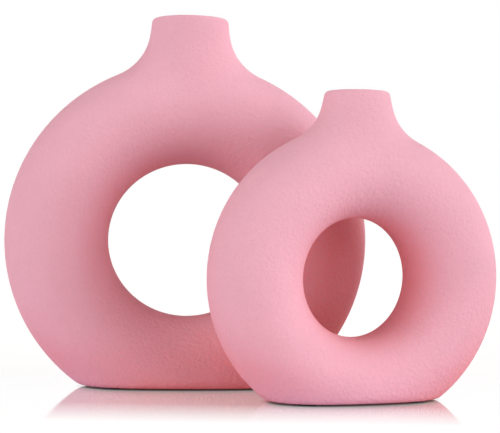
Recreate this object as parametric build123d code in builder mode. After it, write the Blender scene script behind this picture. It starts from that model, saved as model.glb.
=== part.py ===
from build123d import *

import os
from dataclasses import dataclass
from math import atan2, cos, hypot, radians, sin, sqrt, tan

# A set of two ring vases in matt pink ceramic, a large one and a small one, each a hollow oval ring
# with a flat base and a flared neck on top. Each casting has a thin watertight glaze on its inside
# and stands on stick-on pads.
#
# Millimetres, Z up, with the floor at Z = 0 and the origin under the middle of the set. The large
# vase's ring lies along X and its front faces -Y. The small vase stands in front of its right half,
# turned a little.

# Large vase, on the outside of the clay
large_ring_width = 246.2        # across the ring
large_ring_height = 242.7       # the ring's whole round
large_tube_thickness = 69.6     # hole edge to outer edge
large_tube_depth = 68.9         # front to back
large_base_cut = 22.75          # what the flat base takes off the ring's round
large_base_round = 7.0          # radius round the edge of the base
large_neck_height = 29.05       # ring to rim
large_rim_diameter = 51.7
large_neck_setback = 1.9        # half way down the tube, the neck's cone lies this far inside its front
large_neck_sweep = 35.0         # radius that carries the neck into the ring

# Small vase, on the outside of the clay
small_ring_width = 195.6
small_ring_height = 192.9
small_tube_thickness = 58.5
small_tube_depth = 68.5
small_base_cut = 19.25
small_base_round = 6.0
small_neck_height = 22.25
small_rim_diameter = 41.0
small_neck_setback = 2.8
small_neck_sweep = 32.7

# Where the small vase stands, from the large one
small_to_the_right = 101.5      # between the two middles
small_gap_behind = 8.4          # from its tube to the large one's, between the two middles
small_turn = 14.7               # degrees, its right side further back

# Both castings
wall = 5.5
lip_flat = 0.5                  # left between the two roundings of the rim
cavity_floor_round = 3.0        # radius inside, where the wall meets the floor of the hollow

# The glaze inside both
glaze_thickness = 0.5
glaze_clearance = 0.15          # keeps the glaze's solid out of the clay's
glaze_stop = 6.0                # the glaze ends this far below the rim

# Stick-on pads under both bases
pad_diameter = 12.0
pad_thickness = 1.0
pad_setback_ends = 21.0         # pad centre to the end of the base's outline
pad_setback_sides = 19.0        # pad centre to the front or back of the base's outline


@dataclass
class VaseSizes:
    """Sizes of one vase and the plane that it stands on."""

    ring_width: float
    ring_height: float
    tube_thickness: float
    tube_depth: float
    base_cut: float
    base_round: float
    neck_height: float
    rim_diameter: float
    neck_setback: float
    neck_sweep: float
    stand: Plane

    @property
    def ring_centre(self):
        """Height of the middle of the hole."""
        return pad_thickness + self.ring_height / 2 - self.base_cut

    @property
    def height(self):
        """Height of the rim."""
        return self.ring_centre + self.ring_height / 2 + self.neck_height


small_to_the_front = large_tube_depth / 2 + small_gap_behind + small_tube_depth / 2

# How far the turned small vase reaches from its own middle, at half the height of its ring
turn_cos = cos(radians(small_turn))
turn_sin = sin(radians(small_turn))
small_path_half_width = (small_ring_width - small_tube_thickness) / 2
small_end_right = hypot(small_tube_thickness / 2 * turn_cos, small_tube_depth / 2 * turn_sin)
small_end_front = hypot(small_tube_thickness / 2 * turn_sin, small_tube_depth / 2 * turn_cos)
small_reach_right = small_path_half_width * turn_cos + small_end_right
small_reach_front = small_path_half_width * turn_sin + small_end_front

# The middle of the set, from the middle of the large vase, which reaches furthest to the left and back
middle_to_the_right = (small_to_the_right + small_reach_right - large_ring_width / 2) / 2
middle_to_the_front = (small_to_the_front + small_reach_front - large_tube_depth / 2) / 2

large_stand = Location((-middle_to_the_right, middle_to_the_front, 0))
small_stand = Location(
    (small_to_the_right - middle_to_the_right, middle_to_the_front - small_to_the_front, 0),
    (0, 0, small_turn),
)

vases = {
    "large": VaseSizes(
        large_ring_width,
        large_ring_height,
        large_tube_thickness,
        large_tube_depth,
        large_base_cut,
        large_base_round,
        large_neck_height,
        large_rim_diameter,
        large_neck_setback,
        large_neck_sweep,
        Plane(large_stand),
    ),
    "small": VaseSizes(
        small_ring_width,
        small_ring_height,
        small_tube_thickness,
        small_tube_depth,
        small_base_cut,
        small_base_round,
        small_neck_height,
        small_rim_diameter,
        small_neck_setback,
        small_neck_sweep,
        Plane(small_stand),
    ),
}


def vase_form(vase, inset, underside, underside_round, top):
    """A solid vase drawn in by inset from its outside, flat at the heights underside and top."""
    half_thickness = vase.tube_thickness / 2
    path_half_width = vase.ring_width / 2 - half_thickness
    path_half_height = vase.ring_height / 2 - half_thickness

    # The neck's cone runs from the middle of the tube to well above the rim, where it is cut off
    root_height = vase.ring_centre + path_half_height
    root_radius = vase.tube_depth / 2 - vase.neck_setback
    taper = atan2(root_radius - vase.rim_diameter / 2, vase.height - root_height)
    end_height = vase.height + vase.neck_sweep / 2

    def neck_radius(height):
        return root_radius - (height - root_height) * tan(taper) - inset / cos(taper)

    with BuildPart() as form:
        # The ring, a tube of oval section along an oval
        with BuildLine(Plane.XZ) as path:
            EllipticalCenterArc((0, vase.ring_centre), path_half_width, path_half_height, arc_size=360)
        with BuildSketch(Plane.XY.move(Location((path_half_width, 0, vase.ring_centre)))):
            with BuildLine():
                for front_or_back in (0, 180):
                    EllipticalCenterArc(
                        (0, 0),
                        half_thickness - inset,
                        vase.tube_depth / 2 - inset,
                        start_angle=front_or_back,
                        arc_size=180,
                    )
            make_face()
        sweep(path=path.wire(), is_frenet=True)

        # The neck, swept into the ring so that the clay keeps one wall thickness
        with BuildSketch(Plane.XZ):
            with BuildLine():
                Polyline(
                    (0, root_height),
                    (neck_radius(root_height), root_height),
                    (neck_radius(end_height), end_height),
                    (0, end_height),
                    close=True,
                )
            make_face()
        revolve(axis=Axis.Z)
        crease = form.faces().filter_by(GeomType.CONE).edges().filter_by(GeomType.BSPLINE)
        fillet(crease, radius=vase.neck_sweep + inset)

        # The flat rim and underside
        split(bisect_by=Plane.XY.offset(top), keep=Keep.BOTTOM)
        split(bisect_by=Plane.XY.offset(underside), keep=Keep.TOP)
        fillet(form.edges().group_by(Axis.Z)[0], radius=underside_round)
    return form


def vase_body(vase):
    """The ceramic casting, hollow right round the ring and open at the neck."""
    outside = vase_form(vase, 0, pad_thickness, vase.base_round, vase.height)
    hollow = vase_form(vase, wall, pad_thickness + wall, cavity_floor_round, vase.height + wall)
    with BuildPart(vase.stand) as body:
        add(outside.part)
        add(hollow.part, mode=Mode.SUBTRACT)
        lip = body.faces().sort_by(Axis.Z)[-1]
        fillet(lip.edges(), radius=(wall - lip_flat) / 2)
    return body


def inner_glaze(vase):
    """The watertight glaze that coats the hollow up to just below the rim."""
    back = wall + glaze_clearance
    face = back + glaze_thickness
    top = vase.height - glaze_stop
    back_form = vase_form(vase, back, pad_thickness + back, cavity_floor_round, top)
    face_form = vase_form(vase, face, pad_thickness + face, cavity_floor_round, top + wall)
    with BuildPart(vase.stand) as glaze:
        add(back_form.part)
        add(face_form.part, mode=Mode.SUBTRACT)
    return glaze


def pad_places(vase):
    """The pads' names and their places from the middle of the base."""
    base_drop = vase.ring_height / 2 - vase.base_cut
    base_half_length = vase.ring_width / 2 * sqrt(1 - (2 * base_drop / vase.ring_height) ** 2)
    tube_drop = vase.tube_thickness / 2 - vase.base_cut
    base_half_depth = vase.tube_depth / 2 * sqrt(1 - (2 * tube_drop / vase.tube_thickness) ** 2)
    across = base_half_length - pad_setback_ends
    along = base_half_depth - pad_setback_sides
    return {
        "front_left": (-across, -along),
        "front_right": (across, -along),
        "back_left": (-across, along),
        "back_right": (across, along),
    }


def foot_pad(vase, place):
    """A round pad between the floor and the base."""
    with BuildPart(vase.stand) as pad:
        with BuildSketch(vase.stand):
            with Locations(place):
                Circle(pad_diameter / 2)
        extrude(amount=pad_thickness)
    return pad


def write_piece(piece, node):
    """Label a finished piece and write it as its own node."""
    piece.part.label = node
    export_step(piece.part, f"parts/{node}.step")


os.makedirs("parts", exist_ok=True)
for name, vase in vases.items():
    write_piece(vase_body(vase), f"{name}_vase_body")
    write_piece(inner_glaze(vase), f"{name}_inner_glaze")
    for corner, place in pad_places(vase).items():
        write_piece(foot_pad(vase, place), f"{name}_foot_pad_{corner}")
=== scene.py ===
from math import atan2, hypot, pi, radians

import bmesh
import bpy
from bpy.props import FloatProperty, FloatVectorProperty, IntProperty, PointerProperty
from mathutils import Matrix, Vector


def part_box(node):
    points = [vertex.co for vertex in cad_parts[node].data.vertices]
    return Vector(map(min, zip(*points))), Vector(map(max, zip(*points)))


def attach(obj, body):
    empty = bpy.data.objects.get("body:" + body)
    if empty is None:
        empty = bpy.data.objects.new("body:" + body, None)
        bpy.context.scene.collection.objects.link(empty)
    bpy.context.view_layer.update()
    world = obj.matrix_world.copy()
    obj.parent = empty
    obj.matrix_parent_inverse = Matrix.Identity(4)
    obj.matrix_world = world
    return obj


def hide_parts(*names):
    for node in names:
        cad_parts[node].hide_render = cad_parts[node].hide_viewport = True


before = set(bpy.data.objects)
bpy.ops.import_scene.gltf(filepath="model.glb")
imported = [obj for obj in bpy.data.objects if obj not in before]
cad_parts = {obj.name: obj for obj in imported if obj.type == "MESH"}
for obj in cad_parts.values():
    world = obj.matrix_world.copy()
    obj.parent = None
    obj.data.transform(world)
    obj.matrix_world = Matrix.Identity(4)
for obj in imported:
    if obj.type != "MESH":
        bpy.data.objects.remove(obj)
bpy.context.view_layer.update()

bl_info = {
    "name": "Ring Vase Set",
    "version": (1, 0, 0),
    "blender": (4, 5, 0),
    "location": "View3D > Sidebar > Vases",
    "description": "Models two matt pink ring vases around their packed frame and stages them",
    "category": "Object",
}

MM = 0.001
VASES = ("large", "small")
CORNERS = ("front_left", "front_right", "back_left", "back_right")
IMAGE_WIDTH = 500
WHITE = (1.0, 1.0, 1.0)

# Heights that differ by less than this count as the same
SAME_HEIGHT = 0.1 * MM


def length(name, description, millimetres):
    """A length property in the scene's metres, with its default in millimetres."""
    return FloatProperty(
        name=name,
        description=description,
        default=millimetres * MM,
        min=0.0,
        precision=5,
        subtype="DISTANCE",
        unit="LENGTH",
    )


def angle(name, description, degrees):
    """An angle property, with its default in degrees."""
    return FloatProperty(name=name, description=description, default=radians(degrees), subtype="ANGLE")


def fraction(name, description, default):
    """A property between 0 and 1."""
    return FloatProperty(
        name=name, description=description, default=default, min=0.0, max=1.0, subtype="FACTOR"
    )


def level(name, description, default):
    """A light level. At level 1 a white card that faces it is just white."""
    return FloatProperty(name=name, description=description, default=default, min=0.0)


def colour(name, description, default):
    """A linear colour property."""
    return FloatVectorProperty(
        name=name, description=description, default=default, min=0.0, max=1.0, size=3, subtype="COLOR"
    )


class Stand:
    """Where one vase stands, read from its nodes in the frame."""

    def __init__(self, vase):
        low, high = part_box(f"{vase}_vase_body")
        left_low, left_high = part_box(f"{vase}_foot_pad_front_left")
        right_low, right_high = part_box(f"{vase}_foot_pad_front_right")
        along = (right_low + right_high - left_low - left_high) / 2
        self.middle = Vector(((low.x + high.x) / 2, (low.y + high.y) / 2, 0.0))
        self.turn = atan2(along.y, along.x)
        self.base = low.z
        self.rim = high.z


stands = {vase: Stand(vase) for vase in VASES}


class LargeVaseShape(bpy.types.PropertyGroup):
    """Sizes of the large casting's cage, before it is drawn onto the frame."""

    ring_width: length("Ring width", "Across the ring, outside", 246.2)
    ring_height: length("Ring height", "The ring's whole round", 242.7)
    tube_thickness: length("Tube thickness", "Hole edge to outer edge", 69.6)
    tube_depth: length("Tube depth", "Front to back", 68.9)
    base_cut: length("Base cut", "What the flat base takes off the ring's round", 22.75)
    rim_diameter: length("Rim diameter", "Across the rim, outside", 51.7)


class SmallVaseShape(bpy.types.PropertyGroup):
    """Sizes of the small casting's cage, before it is drawn onto the frame."""

    ring_width: length("Ring width", "Across the ring, outside", 195.6)
    ring_height: length("Ring height", "The ring's whole round", 192.9)
    tube_thickness: length("Tube thickness", "Hole edge to outer edge", 58.5)
    tube_depth: length("Tube depth", "Front to back", 68.5)
    base_cut: length("Base cut", "What the flat base takes off the ring's round", 19.25)
    rim_diameter: length("Rim diameter", "Across the rim, outside", 41.0)


class CastingFinish(bpy.types.PropertyGroup):
    """What both castings share."""

    wall: length("Wall", "Thickness of the clay", 5.5)
    lip_round: length("Lip rounding", "Radius at both edges of the rim", 2.5)
    base_row: length("Base row", "Least width of a cage face beside the edge of the base", 4.0)
    base_rows: IntProperty(
        name="Base rows", description="Cage rows inside the edge of the base", default=2, min=1, max=4
    )
    neck_cuts: IntProperty(
        name="Neck cuts", description="Cuts across the neck's cage", default=5, min=2, max=10
    )
    ring_segments: IntProperty(
        name="Ring segments", description="Cage faces around the ring", default=72, min=24, max=144
    )
    tube_segments: IntProperty(
        name="Tube segments", description="Cage faces around the tube", default=32, min=16, max=64
    )
    clay: colour("Clay", "The matt pink body colour", (0.745, 0.41, 0.5))
    # The next two set painted shade: a deeper red mixed into the clay where an occlusion measure finds
    # walls close, and how far that measure looks
    painted_shade_clay: colour("Deep clay", "The body colour where walls are close", (0.78, 0.27, 0.29))
    painted_shade_reach: length("Deep reach", "How far off a wall deepens the colour", 140.0)
    bisque: colour("Bisque", "The bare clay under the base", (0.78, 0.62, 0.55))
    grain_depth: length("Grain depth", "Of the sandy grain", 0.8)


class GlazeFinish(bpy.types.PropertyGroup):
    """The watertight glaze inside both castings."""

    tint: colour("Glaze", "The clear glaze over the pink clay", (0.74, 0.36, 0.42))
    roughness: fraction("Roughness", "Of the glaze's surface", 0.16)
    ripple_depth: length("Ripple depth", "Of the glaze's slight ripple", 0.2)


class PadFinish(bpy.types.PropertyGroup):
    """The stick-on pads."""

    edge_round: length("Edge rounding", "Of the felt's lower edge", 0.3)
    film: length("Film", "Thickness of the sticky film on top", 0.15)
    film_setback: length("Film setback", "The film is this much smaller than the felt, all round", 0.2)
    fibre_depth: length("Fibre depth", "Of the felt's fibres", 0.1)
    felt: colour("Felt", "The pad's dark felt", (0.035, 0.03, 0.03))
    adhesive: colour("Adhesive", "The sticky film", (0.55, 0.48, 0.38))


class FloorFinish(bpy.types.PropertyGroup):
    """The studio floor and what it gives the vases to see."""

    reach: length("Reach", "Half the width of the floor", 6000.0)
    polish: fraction("Polish", "How much the floor mirrors around the vases", 0.72)
    mirror_roughness: fraction("Mirror roughness", "Of the polished floor", 0.06)
    shade: fraction("Shade", "The floor's own grey, which keeps the shadows", 0.2)
    glow: level("Glow", "What lifts the lit floor to white before the eye", 0.86)
    # Painted light for the vases only: the bounce colours are tinted towards the vases' pink and red,
    # and the glows are painted reflections of the vases and a painted white light ahead of the small
    # vase
    bounce: colour("Bounce", "What the floor throws back", (0.8, 0.71, 0.72))
    front_painted_bounce: colour("Front bounce", "What the polished floor throws back", (0.36, 0.3, 0.38))
    inner_painted_bounce: colour("Inner bounce", "The same between the vases", (0.4, 0.1, 0.06))
    front_painted_reflection: colour("Front glow", "The vases' colour mirrored at their feet", (0.9, 0.74, 1.0))
    inner_painted_reflection: colour("Inner glow", "The same between the vases", (1.0, 0.26, 0.22))
    painted_reflection_level: level("Near level", "Of the glow at the vases' feet", 0.4)
    ahead_level: level("Ahead level", "Of the white glow ahead of the small vase", 0.5)


class StageSetting(bpy.types.PropertyGroup):
    """The light and the view."""

    eye: FloatVectorProperty(
        name="Eye",
        description="The camera's place, from the middle of the large vase's base",
        default=(-0.0763, -0.9992, 0.1140),
        size=3,
        subtype="TRANSLATION",
        unit="LENGTH",
    )
    heading: angle("Heading", "The view turns this far to the right", 6.81)
    pitch: angle("Pitch", "The view tips up by this much", 0.13)
    roll: angle("Roll", "The camera leans to its left", 0.88)
    focal_pixels: FloatProperty(
        name="Focal length", description="In pixels of the picture", default=1467.7, min=1.0
    )
    ambient: colour("Ambient", "The light from all around", (0.11, 0.02, 0.0))
    left_level: level("Left softbox", "Level of each low lamp at the left", 0.585)
    right_level: level("Right softbox", "Level of each low lamp at the right", 0.565)
    high_level: level("High softbox", "Level of each high lamp at the right", 0.22)
    lamp_spread: angle("Lamp spread", "How wide each lamp looks", 60.0)


def start_piece():
    """Leave edit mode and select nothing, so that the next operator touches only what it makes."""
    if bpy.context.object and bpy.context.object.mode == "EDIT":
        bpy.ops.object.mode_set(mode="OBJECT")
    bpy.ops.object.select_all(action="DESELECT")


def pick(kind, wanted):
    """In edit mode, select the VERT, EDGE or FACE elements that wanted says yes to."""
    bpy.ops.mesh.select_mode(type=kind)
    bpy.ops.mesh.select_all(action="DESELECT")
    mesh = bpy.context.object.data
    cage = bmesh.from_edit_mesh(mesh)
    elements = {"VERT": cage.verts, "EDGE": cage.edges, "FACE": cage.faces}[kind]
    for element in elements:
        if wanted(element):
            element.select_set(True)
    bmesh.update_edit_mesh(mesh)


def pick_open_edges():
    """Select the edges that have a face on one side only."""
    pick("EDGE", lambda edge: edge.is_boundary)


def middle_of(face_or_edge):
    """The mean of an element's corners."""
    corners = [vertex.co for vertex in face_or_edge.verts]
    return sum(corners, Vector()) / len(corners)


def apply(piece, kind, **settings):
    """Add a modifier to the piece, set it and apply it."""
    modifier = piece.modifiers.new(kind.title(), kind)
    for name, value in settings.items():
        setattr(modifier, name, value)
    bpy.context.view_layer.objects.active = piece
    bpy.ops.object.modifier_apply(modifier=modifier.name)


def keep_group(piece, name, wanted):
    """A vertex group of the vertices that wanted says yes to."""
    group = piece.vertex_groups.new(name=name)
    group.add([v.index for v in piece.data.vertices if wanted(v.co)], 1.0, "REPLACE")
    return group.name


def ring_cage(shape, finish, stand):
    """A torus drawn out to the ring's oval and cut flat at the base, standing over the origin."""
    path_radius = (shape.ring_width - shape.tube_thickness) / 2
    centre = Vector((0.0, 0.0, stand.base + shape.ring_height / 2 - shape.base_cut))
    start_piece()
    bpy.ops.mesh.primitive_torus_add(
        location=centre,
        rotation=(pi / 2, 0.0, 0.0),
        major_segments=finish.ring_segments,
        minor_segments=finish.tube_segments,
        major_radius=path_radius,
        minor_radius=shape.tube_thickness / 2,
    )
    piece = bpy.context.object
    bpy.ops.object.transform_apply(location=True, rotation=True, scale=True)
    bpy.ops.object.mode_set(mode="EDIT")
    bpy.ops.mesh.select_all(action="SELECT")
    oval = (1.0, shape.tube_depth / shape.tube_thickness, shape.ring_height / shape.ring_width)
    bpy.ops.transform.resize(value=oval, center_override=centre)
    return piece, centre, path_radius


def flatten_base(stand, finish):
    """Cut the ring flat where it stands, weld the slivers along the cut and fill it in even rows."""
    base_centre = (0.0, 0.0, stand.base)
    bpy.ops.mesh.select_all(action="SELECT")
    bpy.ops.mesh.bisect(plane_co=base_centre, plane_no=(0.0, 0.0, 1.0), clear_inner=True)
    pick("VERT", lambda vertex: vertex.co.z < stand.base + finish.base_row)
    bpy.ops.mesh.remove_doubles(threshold=finish.base_row)
    pick_open_edges()
    bpy.ops.transform.resize(value=(1.0, 1.0, 0.0), center_override=base_centre)
    bpy.ops.mesh.edge_face_add()
    pick("FACE", lambda face: all(v.co.z < stand.base + SAME_HEIGHT for v in face.verts))
    for row in range(finish.base_rows):
        bpy.ops.mesh.inset(thickness=finish.base_row, depth=0.0)
    bpy.ops.mesh.poke()


def raise_neck(shape, finish, stand, centre, path_radius):
    """Open the top of the ring and draw the opening's edge up to the round rim."""
    half_flare = radians(31.0)
    half_top = radians(76.0)

    def under_flare(face):
        place = middle_of(face) - centre
        around = atan2(place.x, place.z)
        over = atan2(place.y, hypot(place.x, place.z) - path_radius)
        return abs(around) < half_flare and abs(over) < half_top

    pick("FACE", under_flare)
    bpy.ops.mesh.delete(type="FACE")
    pick_open_edges()
    bpy.ops.mesh.extrude_edges_move()
    rim_centre = (0.0, 0.0, stand.rim)
    bpy.ops.transform.resize(value=(1.0, 1.0, 0.0), center_override=rim_centre)
    mesh = bpy.context.object.data
    rim = [v for v in bmesh.from_edit_mesh(mesh).verts if v.select]
    spread_x = max(abs(v.co.x) for v in rim)
    spread_y = max(abs(v.co.y) for v in rim)
    bpy.ops.transform.resize(value=(1.0, spread_x / spread_y, 1.0), center_override=rim_centre)
    bpy.ops.transform.tosphere(value=1.0, center_override=rim_centre)
    rim = [v for v in bmesh.from_edit_mesh(mesh).verts if v.select]
    radius = sum(hypot(v.co.x, v.co.y) for v in rim) / len(rim)
    fit = shape.rim_diameter / 2 / radius
    bpy.ops.transform.resize(value=(fit, fit, 1.0), center_override=rim_centre)

    def rises(edge):
        at_rim = [abs(v.co.z - stand.rim) < SAME_HEIGHT for v in edge.verts]
        return at_rim[0] != at_rim[1]

    pick("EDGE", rises)
    bpy.ops.mesh.subdivide(number_cuts=finish.neck_cuts)


def wrap(piece, vase, **settings):
    """Draw the piece's vertices onto the nearest surface of the vase's casting in the frame."""
    apply(piece, "SHRINKWRAP", target=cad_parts[f"{vase}_vase_body"], **settings)


def round_lip(rim, lip_round):
    """Level the open top of the wall and round both its edges."""
    pick("FACE", lambda face: middle_of(face).z > rim - 2 * lip_round and face.normal.z > 0.7)
    bpy.ops.transform.resize(value=(1.0, 1.0, 0.0), center_override=(0.0, 0.0, rim))
    bpy.ops.mesh.region_to_loop()
    bpy.ops.mesh.bevel(offset=lip_round, offset_type="OFFSET", segments=3, profile=0.5)


def model_casting(vase, shape, finish):
    """One hollow casting: ring, flat base, flared neck and rounded lip."""
    stand = stands[vase]
    piece, centre, path_radius = ring_cage(shape, finish, stand)
    flatten_base(stand, finish)
    raise_neck(shape, finish, stand, centre, path_radius)
    bpy.ops.mesh.select_all(action="SELECT")
    bpy.ops.mesh.normals_make_consistent(inside=False)
    bpy.ops.object.mode_set(mode="OBJECT")
    piece.name = f"{vase}_vase_casting"

    # Stand it in its place, and draw the cage onto the frame's outside below the lip
    piece.location = stand.middle
    piece.rotation_euler.z = stand.turn
    bpy.ops.object.transform_apply(location=True, rotation=True, scale=True)
    below_lip = keep_group(piece, "below_lip", lambda place: place.z < stand.rim - finish.lip_round)
    wrap(piece, vase, vertex_group=below_lip)
    apply(piece, "SUBSURF", levels=1, render_levels=1)
    piece.vertex_groups.clear()

    # Give the clay its wall, round the lip, and smooth inside and outside once more
    apply(piece, "SOLIDIFY", thickness=finish.wall, offset=-1.0)
    bpy.ops.object.mode_set(mode="EDIT")
    round_lip(stand.rim, finish.lip_round)
    bpy.ops.object.mode_set(mode="OBJECT")
    wrap(piece, vase)
    apply(piece, "SUBSURF", levels=1, render_levels=1)
    bpy.ops.object.shade_smooth()
    return piece


class NodeTree:
    """A few short words for wiring a material's nodes."""

    def __init__(self, tree):
        self.tree = tree
        tree.nodes.clear()

    def add(self, kind, **settings):
        node = self.tree.nodes.new(kind)
        for name, value in settings.items():
            setattr(node, name, value)
        return node

    def set(self, node, **values):
        for name, value in values.items():
            node.inputs[name.replace("_", " ")].default_value = value
        return node

    def join(self, source, target):
        self.tree.links.new(source, target)

    def noise(self, vector, scale, detail, roughness):
        node = self.add("ShaderNodeTexNoise")
        self.set(node, Scale=scale, Detail=detail, Roughness=roughness)
        self.join(vector, node.inputs["Vector"])
        return node.outputs["Fac"]

    def ramp(self, value, low, high, start=0.0, end=1.0, shape="SMOOTHSTEP"):
        node = self.add("ShaderNodeMapRange", interpolation_type=shape)
        self.set(node, From_Min=low, From_Max=high, To_Min=start, To_Max=end)
        self.join(value, node.inputs["Value"])
        return node.outputs["Result"]

    def feed(self, value, target):
        """Join a socket to the target, or set the target to a number or a colour."""
        if isinstance(value, bpy.types.NodeSocket):
            self.join(value, target)
        elif isinstance(value, tuple):
            target.default_value = (*value, 1.0)
        else:
            target.default_value = value

    def mix(self, share, first, second):
        """Blend two colours, each a colour or a socket, by the socket of a share."""
        node = self.add("ShaderNodeMix", data_type="RGBA")
        self.join(share, node.inputs["Factor"])
        self.feed(first, node.inputs[6])
        self.feed(second, node.inputs[7])
        return node.outputs[2]

    def zone(self, value, rise, fall):
        """1 inside a stretch of the value, softly 0 outside; rise and fall are its two soft edges."""
        risen = self.ramp(value, *rise)
        left = self.ramp(value, *fall, start=1.0, end=0.0)
        return self.math("MULTIPLY", risen, left)

    def total(self, first, second):
        """Add two shaders."""
        node = self.add("ShaderNodeAddShader")
        self.join(first, node.inputs[0])
        self.join(second, node.inputs[1])
        return node.outputs["Shader"]

    def blend(self, share, first, second):
        """Blend two shaders by the socket of a share."""
        node = self.add("ShaderNodeMixShader")
        self.join(share, node.inputs["Fac"])
        self.join(first, node.inputs[1])
        self.join(second, node.inputs[2])
        return node.outputs["Shader"]

    def sight(self):
        """1 for what the eye sees, directly, mirrored or through glass, and 0 for what only lights."""
        path = self.add("ShaderNodeLightPath")
        seen = self.math("MAXIMUM", path.outputs["Is Camera Ray"], path.outputs["Is Glossy Ray"])
        return self.math("MAXIMUM", seen, path.outputs["Is Transmission Ray"])

    def math(self, operation, first, second=0.0):
        node = self.add("ShaderNodeMath", operation=operation)
        self.feed(first, node.inputs[0])
        self.feed(second, node.inputs[1])
        return node.outputs["Value"]

    def split(self, vector):
        """The X, Y and Z sockets of a vector."""
        node = self.add("ShaderNodeSeparateXYZ")
        self.join(vector, node.inputs["Vector"])
        return node.outputs["X"], node.outputs["Y"], node.outputs["Z"]

    def bump(self, height, strength, depth):
        node = self.add("ShaderNodeBump")
        self.set(node, Strength=strength, Distance=depth)
        self.join(height, node.inputs["Height"])
        return node.outputs["Normal"]

    def finish(self, shader):
        """Wire the shader to the material's output."""
        output = self.add("ShaderNodeOutputMaterial")
        self.join(shader, output.inputs["Surface"])


def new_material(name):
    """An empty node material with its wiring helper."""
    material = bpy.data.materials.new(name)
    material.use_nodes = True
    return material, NodeTree(material.node_tree)


def tinted(base, factor):
    """A colour made lighter or darker."""
    return tuple(min(1.0, channel * factor) for channel in base)


def openness(nodes, upward, reach):
    """How open a place is within the reach, looking out from its wall, tipped up to miss the floor."""
    tipped = nodes.add("ShaderNodeVectorMath", operation="ADD")
    tipped.inputs[1].default_value = (0.0, 0.0, upward)
    nodes.join(nodes.add("ShaderNodeNewGeometry").outputs["Normal"], tipped.inputs[0])
    facing = nodes.add("ShaderNodeVectorMath", operation="NORMALIZE")
    nodes.join(tipped.outputs["Vector"], facing.inputs[0])
    nearby = nodes.add("ShaderNodeAmbientOcclusion", samples=4)
    nodes.set(nearby, Distance=reach)
    nodes.join(facing.outputs["Vector"], nearby.inputs["Normal"])
    return nearby.outputs["AO"]


def clay_material(finish):
    """Matt coloured slip with a fine sandy grain, wiped off to bare bisque under the base, with painted
    shade of a deeper red where walls stand close.
    """
    material, nodes = new_material("matt_pink_clay")
    place = nodes.add("ShaderNodeTexCoord").outputs["Object"]
    height = nodes.split(place)[2]
    clay = tuple(finish.clay)

    # Painted shade: where walls stand close together an occlusion measure deepens the colour to a darker
    # red, less so beside the floor
    painted_shade = nodes.math(
        "MULTIPLY",
        nodes.ramp(openness(nodes, 0.6, finish.painted_shade_reach), low=0.36, high=0.73, start=1.0, end=0.0),
        nodes.ramp(height, low=0.0, high=25.0 * MM, start=0.2, end=1.0),
    )
    cloud = nodes.noise(place, scale=16.0, detail=3.0, roughness=0.5)
    body = nodes.mix(nodes.ramp(cloud, low=0.3, high=0.7), tinted(clay, 0.965), tinted(clay, 1.03))
    body = nodes.mix(painted_shade, body, tuple(finish.painted_shade_clay))
    speck = nodes.noise(place, scale=900.0, detail=2.0, roughness=0.6)
    body = nodes.mix(nodes.ramp(speck, low=0.45, high=0.8), body, tinted(clay, 0.93))

    # The underside is wiped clean
    wiped = nodes.ramp(height, low=1.1 * MM, high=1.25 * MM, start=1.0, end=0.0)
    bisque_grain = nodes.noise(place, scale=700.0, detail=3.0, roughness=0.6)
    bisque = nodes.mix(
        nodes.ramp(bisque_grain, low=0.3, high=0.7), tinted(finish.bisque, 0.9), tuple(finish.bisque)
    )
    body = nodes.mix(wiped, body, bisque)

    grain = nodes.noise(place, scale=430.0, detail=2.0, roughness=0.5)
    sand = nodes.noise(place, scale=2100.0, detail=2.0, roughness=0.6)
    relief = nodes.math("ADD", grain, nodes.math("MULTIPLY", sand, 0.15))

    surface = nodes.add("ShaderNodeBsdfPrincipled")
    nodes.set(surface, IOR=1.45, Specular_IOR_Level=0.25)
    nodes.join(body, surface.inputs["Base Color"])
    nodes.join(nodes.ramp(speck, low=0.2, high=0.8, start=0.72, end=0.9), surface.inputs["Roughness"])
    nodes.join(nodes.bump(relief, 1.0, finish.grain_depth), surface.inputs["Normal"])
    nodes.finish(surface.outputs["BSDF"])
    return material


def glaze_material(finish):
    """A clear glossy glaze pooled a little unevenly over the pink clay."""
    material, nodes = new_material("inner_glaze")
    place = nodes.add("ShaderNodeTexCoord").outputs["Object"]
    pool = nodes.noise(place, scale=40.0, detail=3.0, roughness=0.5)
    pooled = nodes.ramp(pool, low=0.3, high=0.7)
    body = nodes.mix(pooled, tinted(finish.tint, 0.88), tinted(finish.tint, 1.06))
    ripple = nodes.noise(place, scale=90.0, detail=2.0, roughness=0.4)
    surface = nodes.add("ShaderNodeBsdfPrincipled")
    nodes.set(surface, IOR=1.5, Roughness=finish.roughness)
    nodes.join(body, surface.inputs["Base Color"])
    nodes.join(nodes.bump(ripple, 0.3, finish.ripple_depth), surface.inputs["Normal"])
    nodes.finish(surface.outputs["BSDF"])
    return material


def felt_material(finish):
    """Dark pressed felt with short crossing fibres."""
    material, nodes = new_material("pad_felt")
    place = nodes.add("ShaderNodeTexCoord").outputs["Object"]
    fibres = nodes.noise(place, scale=2600.0, detail=4.0, roughness=0.7)
    worn = nodes.ramp(fibres, low=0.3, high=0.7)
    body = nodes.mix(worn, tinted(finish.felt, 0.6), tinted(finish.felt, 1.8))
    surface = nodes.add("ShaderNodeBsdfPrincipled")
    nodes.set(surface, Roughness=0.95)
    nodes.join(body, surface.inputs["Base Color"])
    nodes.join(nodes.bump(fibres, 0.8, finish.fibre_depth), surface.inputs["Normal"])
    nodes.finish(surface.outputs["BSDF"])
    return material


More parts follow.
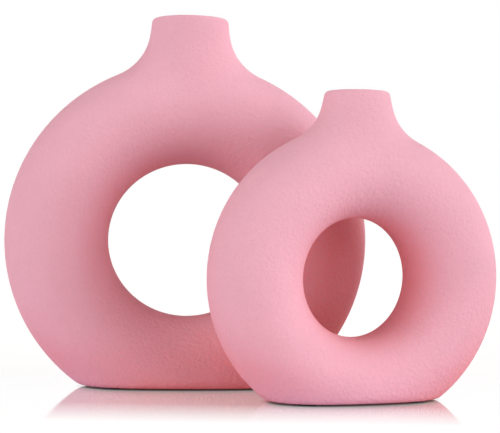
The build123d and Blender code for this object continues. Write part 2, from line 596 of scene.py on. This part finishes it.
def adhesive_material(finish):
    """The pads' sticky film, a little cloudy."""
    material, nodes = new_material("pad_adhesive")
    place = nodes.add("ShaderNodeTexCoord").outputs["Object"]
    cloud = nodes.noise(place, scale=500.0, detail=2.0, roughness=0.5)
    body = nodes.mix(
        nodes.ramp(cloud, low=0.3, high=0.7), tinted(finish.adhesive, 0.9), tinted(finish.adhesive, 1.08)
    )
    surface = nodes.add("ShaderNodeBsdfPrincipled")
    nodes.set(surface, Roughness=0.35)
    nodes.join(body, surface.inputs["Base Color"])
    nodes.finish(surface.outputs["BSDF"])
    return material


class OBJECT_OT_vase_castings(bpy.types.Operator):
    """Model both ceramic castings onto the frame"""

    bl_idname = "object.vase_castings"
    bl_label = "Ceramic castings"

    def execute(self, context):
        settings = context.scene
        finish = settings.casting_finish
        clay = clay_material(finish)
        for vase in VASES:
            shape = getattr(settings, f"{vase}_vase_shape")
            casting = model_casting(vase, shape, finish)
            casting.data.materials.append(clay)
            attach(casting, f"{vase}_vase")
            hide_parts(f"{vase}_vase_body")
        return {"FINISHED"}


class OBJECT_OT_vase_inner_glaze(bpy.types.Operator):
    """Give the watertight coats inside both castings their glaze"""

    bl_idname = "object.vase_inner_glaze"
    bl_label = "Inner glaze"

    def execute(self, context):
        glaze = glaze_material(context.scene.glaze_finish)
        for vase in VASES:
            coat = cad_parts[f"{vase}_inner_glaze"]
            for coat_slot in coat.material_slots:
                coat_slot.material = glaze
        return {"FINISHED"}


def model_pad(finish, diameter, thickness):
    """One felt pad over the origin: a rounded felt disc with a smaller sticky film on top."""
    felt_height = thickness - finish.film
    start_piece()
    bpy.ops.mesh.primitive_cylinder_add(
        vertices=48, radius=diameter / 2, depth=felt_height, location=(0.0, 0.0, felt_height / 2)
    )
    pad = bpy.context.object
    bpy.ops.object.transform_apply(location=True, rotation=True, scale=True)
    bpy.ops.object.mode_set(mode="EDIT")
    pick("EDGE", lambda edge: all(v.co.z < felt_height / 2 for v in edge.verts))
    bpy.ops.mesh.bevel(offset=finish.edge_round, segments=3, profile=0.5)
    pick("FACE", lambda face: face.normal.z > 0.9)
    bpy.ops.mesh.inset(thickness=finish.film_setback, depth=0.0)
    bpy.ops.mesh.extrude_region_move(TRANSFORM_OT_translate={"value": (0.0, 0.0, finish.film)})
    bpy.ops.mesh.inset(thickness=diameter / 4, depth=0.0)
    bpy.ops.mesh.poke()
    pick("FACE", lambda face: face.normal.z < -0.999)
    bpy.ops.mesh.inset(thickness=diameter / 4, depth=0.0)
    bpy.ops.mesh.poke()
    bpy.ops.object.mode_set(mode="OBJECT")
    return pad


class OBJECT_OT_vase_foot_pads(bpy.types.Operator):
    """Model one stick-on pad and set a copy under each corner of both bases"""

    bl_idname = "object.vase_foot_pads"
    bl_label = "Foot pads"

    def execute(self, context):
        finish = context.scene.pad_finish
        film_slack = 0.01 * MM
        low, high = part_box(f"{VASES[0]}_foot_pad_{CORNERS[0]}")
        pattern = model_pad(finish, high.x - low.x, high.z - low.z)
        pattern.data.materials.append(felt_material(finish))
        pattern.data.materials.append(adhesive_material(finish))
        felt_top = high.z - low.z - finish.film
        for face in pattern.data.polygons:
            on_film = face.center.z > felt_top - film_slack and face.normal.z > -0.5
            face.material_index = 1 if on_film else 0
        for vase in VASES:
            for corner in CORNERS:
                node = f"{vase}_foot_pad_{corner}"
                low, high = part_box(node)
                pad = pattern.copy()
                pad.data = pattern.data.copy()
                pad.name = f"{vase}_felt_pad_{corner}"
                context.collection.objects.link(pad)
                middle = (low + high) / 2
                pad.data.transform(Matrix.Translation((middle.x, middle.y, low.z)))
                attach(pad, f"{vase}_vase")
                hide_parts(node)
        bpy.data.objects.remove(pattern)
        return {"FINISHED"}


def floor_material(finish, heading):
    """White floor that keeps a soft shadow and a painted shadow under the bases, polished around the
    vases so that it mirrors their feet, and giving the vases painted reflection and painted light.
    """
    material, nodes = new_material("studio_floor")
    turned = nodes.add("ShaderNodeMapping")
    nodes.set(turned, Rotation=(0.0, 0.0, heading))
    nodes.join(nodes.add("ShaderNodeTexCoord").outputs["Object"], turned.inputs["Vector"])
    across, along = nodes.split(turned.outputs["Vector"])[:2]

    # Stretches of the floor in metres, across and along the view from the middle of the set
    aside = nodes.math("ABSOLUTE", across)
    off = nodes.math("ABSOLUTE", along)
    polish = nodes.math(
        "MULTIPLY",
        nodes.ramp(aside, low=0.17, high=0.26, start=finish.polish, end=0.0),
        nodes.ramp(off, low=0.052, high=0.138, start=1.0, end=0.0, shape="LINEAR"),
    )
    inner = nodes.math(
        "MULTIPLY", nodes.ramp(along, low=-0.07, high=-0.02), nodes.ramp(across, low=-0.13, high=-0.06)
    )
    ahead = nodes.math(
        "MULTIPLY",
        nodes.zone(along, rise=(-0.34, -0.26), fall=(-0.15, -0.11)),
        nodes.zone(across, rise=(-0.04, 0.02), fall=(0.16, 0.22)),
    )

    # Seen from steeply above, a polished floor mirrors less
    slant = nodes.add("ShaderNodeLayerWeight")
    nodes.set(slant, Blend=0.5)
    slanted = nodes.ramp(slant.outputs["Facing"], low=0.2, high=0.85, start=0.15, end=1.0)
    gloss = nodes.math("MULTIPLY", polish, slanted)

    # Painted shadow: a short occlusion measure takes the glow away in the gap under a base, so that it
    # reads dark
    nearby = nodes.add("ShaderNodeAmbientOcclusion", samples=8)
    nodes.set(nearby, Distance=6.0 * MM)
    clear = nodes.ramp(nearby.outputs["AO"], low=0.02, high=0.34)

    # What the vases see, painted light that the eye never sees: a white floor, and where it is polished
    # a painted reflection of their own colour as tinted bounce and glow, pink in front and red between
    # them, with a painted white glow ahead of the small vase
    bounce = nodes.add("ShaderNodeBsdfDiffuse")
    polished = nodes.mix(inner, tuple(finish.front_painted_bounce), tuple(finish.inner_painted_bounce))
    nodes.join(nodes.mix(polish, tuple(finish.bounce), polished), bounce.inputs["Color"])
    # Painted reflection and painted light: this glow lights the vases in their own colour at their feet,
    # and white ahead of the small vase
    mirrored = nodes.add("ShaderNodeEmission")
    painted_reflection_colour = nodes.mix(inner, tuple(finish.front_painted_reflection), tuple(finish.inner_painted_reflection))
    nodes.join(nodes.mix(ahead, painted_reflection_colour, WHITE), mirrored.inputs["Color"])
    painted_reflection_level = nodes.math("MULTIPLY", nodes.math("MULTIPLY", polish, clear), finish.painted_reflection_level)
    strength = nodes.math("ADD", painted_reflection_level, nodes.math("MULTIPLY", ahead, finish.ahead_level))
    nodes.join(strength, mirrored.inputs["Strength"])
    around = nodes.total(bounce.outputs["BSDF"], mirrored.outputs["Emission"])

    # What the eye sees: a shadow catcher with a glow that lifts it to white, except under the bases,
    # where the glow is held back as painted shadow
    shadow = nodes.add("ShaderNodeBsdfDiffuse")
    nodes.feed((finish.shade, finish.shade, finish.shade), shadow.inputs["Color"])
    glow = nodes.add("ShaderNodeEmission")
    nodes.feed(WHITE, glow.inputs["Color"])
    nodes.join(nodes.math("MULTIPLY", clear, finish.glow), glow.inputs["Strength"])
    mirror = nodes.add("ShaderNodeBsdfGlossy")
    nodes.feed(WHITE, mirror.inputs["Color"])
    nodes.set(mirror, Roughness=finish.mirror_roughness)
    lit = nodes.total(shadow.outputs["BSDF"], glow.outputs["Emission"])
    seen = nodes.blend(gloss, lit, mirror.outputs["BSDF"])

    nodes.finish(nodes.blend(nodes.sight(), around, seen))
    return material


def light_world(setting):
    """White to the eye and in reflections, and a low warm light for the rest."""
    world = bpy.data.worlds.new("studio")
    bpy.context.scene.world = world
    world.use_nodes = True
    nodes = NodeTree(world.node_tree)
    glow = nodes.add("ShaderNodeBackground")
    nodes.join(nodes.mix(nodes.sight(), tuple(setting.ambient), WHITE), glow.inputs["Color"])
    output = nodes.add("ShaderNodeOutputWorld")
    nodes.join(glow.outputs["Background"], output.inputs["Surface"])


def add_softbox(name, azimuth, elevation, spread, strength):
    """A far soft lamp. Its azimuth, to the right from the front, and elevation are in degrees."""
    lamp = bpy.data.lights.new(name, "SUN")
    lamp.energy = pi * strength
    lamp.angle = spread
    holder = bpy.data.objects.new(name, lamp)
    bpy.context.collection.objects.link(holder)
    holder.rotation_euler = (pi / 2 - radians(elevation), 0.0, radians(azimuth))


class OBJECT_OT_vase_stage(bpy.types.Operator):
    """Set the floor, the light and the camera"""

    bl_idname = "object.vase_stage"
    bl_label = "Studio stage"

    def execute(self, context):
        setting = context.scene.stage_setting
        finish = context.scene.floor_finish
        start_piece()
        bpy.ops.mesh.primitive_plane_add(size=2 * finish.reach)
        floor = context.object
        floor.name = "studio_floor"
        floor.data.materials.append(floor_material(finish, setting.heading))

        light_world(setting)
        low = 5.0
        high = 50.0
        spread = setting.lamp_spread
        add_softbox("left_side", -80.0, low, spread, setting.left_level)
        add_softbox("left_front", -50.0, low, spread, setting.left_level)
        add_softbox("right_front", 50.0, low, spread, setting.right_level)
        add_softbox("right_side", 80.0, low, spread, setting.right_level)
        add_softbox("high_front", 50.0, high, spread, setting.high_level)
        add_softbox("high_back", 110.0, high, spread, setting.high_level)

        camera = bpy.data.cameras.new("camera")
        camera.sensor_width = 36.0
        camera.sensor_fit = "HORIZONTAL"
        camera.lens = camera.sensor_width * setting.focal_pixels / IMAGE_WIDTH
        holder = bpy.data.objects.new("camera", camera)
        context.collection.objects.link(holder)
        turn = Matrix.Rotation(-setting.heading, 4, "Z")
        tip = Matrix.Rotation(pi / 2 + setting.pitch, 4, "X")
        lean = Matrix.Rotation(setting.roll, 4, "Z")
        eye = stands["large"].middle + Vector(setting.eye)
        holder.matrix_world = Matrix.Translation(eye) @ turn @ tip @ lean
        context.scene.camera = holder
        context.scene.view_settings.view_transform = "Standard"
        return {"FINISHED"}


class VIEW3D_PT_vases(bpy.types.Panel):
    """Lists the steps that model and stage the vases"""

    bl_idname = "VIEW3D_PT_vases"
    bl_label = "Ring vase set"
    bl_space_type = "VIEW_3D"
    bl_region_type = "UI"
    bl_category = "Vases"

    def draw(self, context):
        for operator in OPERATORS:
            self.layout.operator(operator.bl_idname)


OPERATORS = (
    OBJECT_OT_vase_castings,
    OBJECT_OT_vase_inner_glaze,
    OBJECT_OT_vase_foot_pads,
    OBJECT_OT_vase_stage,
)

GROUPS = {
    "large_vase_shape": LargeVaseShape,
    "small_vase_shape": SmallVaseShape,
    "casting_finish": CastingFinish,
    "glaze_finish": GlazeFinish,
    "pad_finish": PadFinish,
    "floor_finish": FloorFinish,
    "stage_setting": StageSetting,
}


def register():
    for name, group in GROUPS.items():
        bpy.utils.register_class(group)
        setattr(bpy.types.Scene, name, PointerProperty(type=group))
    for operator in OPERATORS:
        bpy.utils.register_class(operator)
    bpy.utils.register_class(VIEW3D_PT_vases)


def unregister():
    bpy.utils.unregister_class(VIEW3D_PT_vases)
    for operator in reversed(OPERATORS):
        bpy.utils.unregister_class(operator)
    for name, group in reversed(GROUPS.items()):
        delattr(bpy.types.Scene, name)
        bpy.utils.unregister_class(group)


def main():
    register()
    bpy.ops.object.vase_castings()
    bpy.ops.object.vase_inner_glaze()
    bpy.ops.object.vase_foot_pads()
    bpy.ops.object.vase_stage()


if __name__ == "__main__":
    main()
